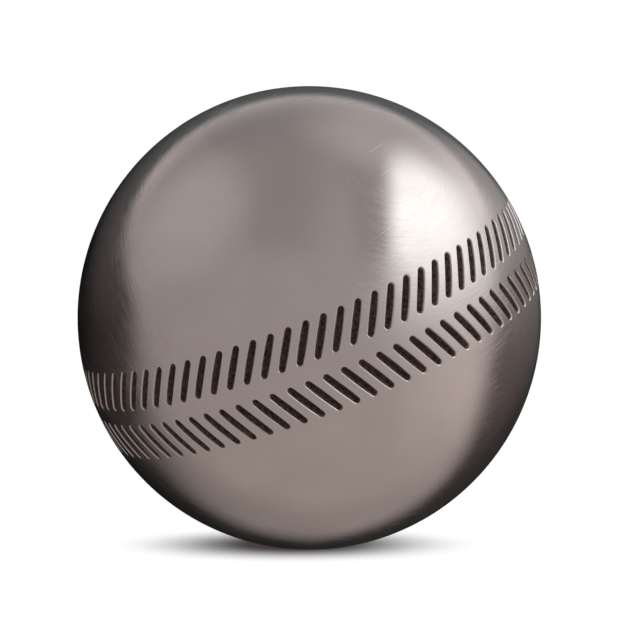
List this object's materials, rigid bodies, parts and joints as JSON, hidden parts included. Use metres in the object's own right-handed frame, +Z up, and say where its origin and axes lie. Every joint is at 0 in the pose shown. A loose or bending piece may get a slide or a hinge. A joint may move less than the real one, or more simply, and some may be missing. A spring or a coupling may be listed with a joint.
{
  "type": "petanque boule",
  "caption": "Hollow steel petanque boule made of half shells welded at the equator and polished, with a belt of stamped chevron slots along the seam; thrown and rolled by hand.",
  "frame": {"origin": "centre of the ball", "axes": "+Z up as the ball lies on the ground, +X to the viewer's right and +Y away from the viewer; the normal of the weld plane leans about 22 degrees from +Z, mostly towards -X and a little towards -Y"},
  "size_m": [0.074, 0.074, 0.074],
  "materials": {
    "shell_steel": "hardened steel, satin polished, with dark scale left in the stamped slots",
    "weld_steel": "weld metal ground flush and polished with the shells outside, left as laid inside"
  },
  "bodies": {
    "root": {"upper_half_shell": "shell_steel", "lower_half_shell": "shell_steel", "weld_seam": "weld_steel"}
  },
  "joints": []
}
